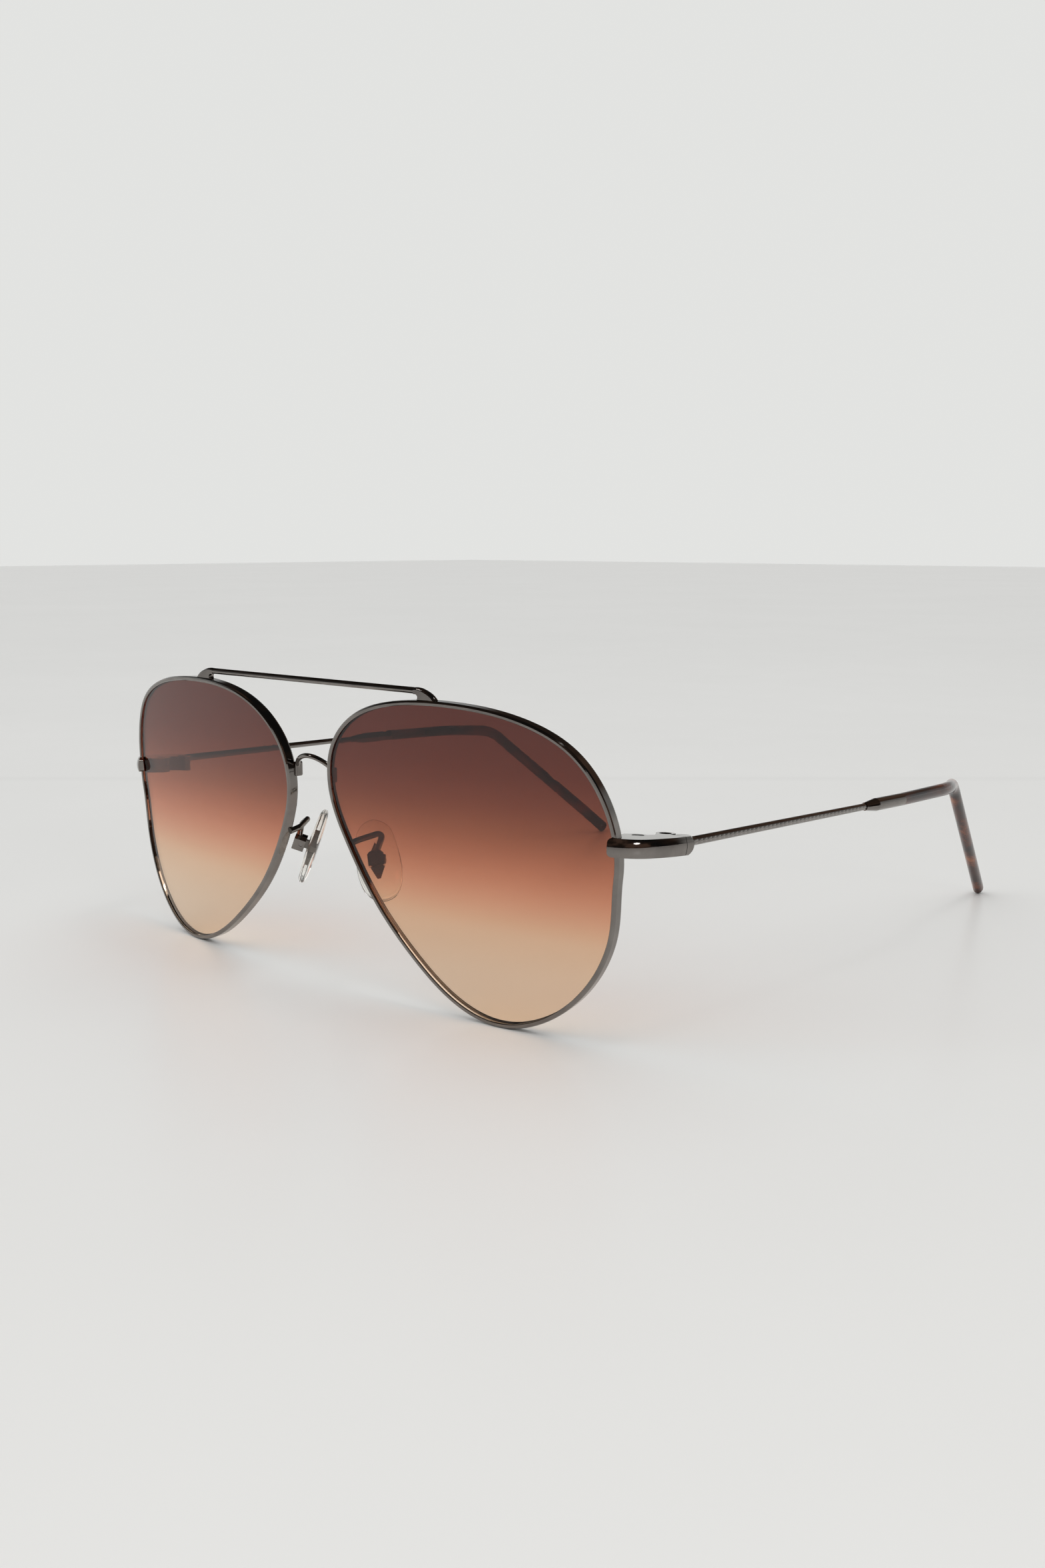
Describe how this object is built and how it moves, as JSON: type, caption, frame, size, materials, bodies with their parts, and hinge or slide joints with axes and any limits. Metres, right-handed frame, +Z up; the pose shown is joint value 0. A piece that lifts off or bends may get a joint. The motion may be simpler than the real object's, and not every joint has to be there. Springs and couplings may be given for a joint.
{
  "type": "aviator sunglasses",
  "caption": "Wire-framed aviator sunglasses with gradient teardrop lenses, straight brow bar, folding temples with curved tips, and adjustable nose pads.",
  "frame": {"origin": "middle of the width and depth, at the height of the lowest points of the rims and temple tips, which stand on the table", "axes": "+Z up, -Y the way the lenses face, +X towards the wearer's left temple"},
  "size_m": [0.144, 0.1516, 0.0557],
  "materials": {
    "gunmetal": "polished dark plating",
    "screw_steel": "plain turned steel",
    "insert_steel": "stamped metal",
    "lens_tint": "polished, graded from dark plum brown above to pale peach below",
    "silicone": "clear and smooth",
    "acetate": "polished mottled brown"
  },
  "bodies": {
    "front": {"bridge": "gunmetal", "brow_bar": "gunmetal", "closing_block_left": "gunmetal", "closing_block_right": "gunmetal", "closing_screw_left": "screw_steel", "closing_screw_right": "screw_steel", "endpiece_left": "gunmetal", "endpiece_right": "gunmetal", "hinge_screw_left": "screw_steel", "hinge_screw_right": "screw_steel", "hinge_washers_left": "screw_steel", "hinge_washers_right": "screw_steel", "lens_left": "lens_tint", "lens_right": "lens_tint", "pad_arm_left": "gunmetal", "pad_arm_right": "gunmetal", "pad_box_left": "gunmetal", "pad_box_right": "gunmetal", "pad_screw_left": "screw_steel", "pad_screw_right": "screw_steel", "rim_left": "gunmetal", "rim_right": "gunmetal"},
    "temple_left": {"temple_joint_left": "gunmetal", "temple_wire_left": "gunmetal", "ferrule_left": "gunmetal", "temple_tip_left": "acetate"},
    "pad_left": {"nose_pad_left": "silicone", "pad_insert_left": "insert_steel"},
    "temple_right": {"temple_joint_right": "gunmetal", "temple_wire_right": "gunmetal", "ferrule_right": "gunmetal", "temple_tip_right": "acetate"},
    "pad_right": {"nose_pad_right": "silicone", "pad_insert_right": "insert_steel"}
  },
  "joints": [
    {"name": "temple_fold_left", "type": "hinge", "parent": "front", "child": "temple_left", "pos_m": [0.0651, -0.05498, 0.032], "axis": [0, 0, 1], "range_deg": [0, 90]},
    {"name": "temple_fold_right", "type": "hinge", "parent": "front", "child": "temple_right", "pos_m": [-0.0651, -0.05498, 0.032], "axis": [0, 0, -1], "range_deg": [0, 86]},
    {"name": "pad_rock_left", "type": "hinge", "parent": "front", "child": "pad_left", "pos_m": [0.01073, -0.06741, 0.02358], "axis": [0.6717, 0.7315, 0.1172], "range_deg": [-8, 8]},
    {"name": "pad_rock_right", "type": "hinge", "parent": "front", "child": "pad_right", "pos_m": [-0.01073, -0.06741, 0.02358], "axis": [-0.6717, 0.7315, 0.1172], "range_deg": [-8, 8]}
  ]
}
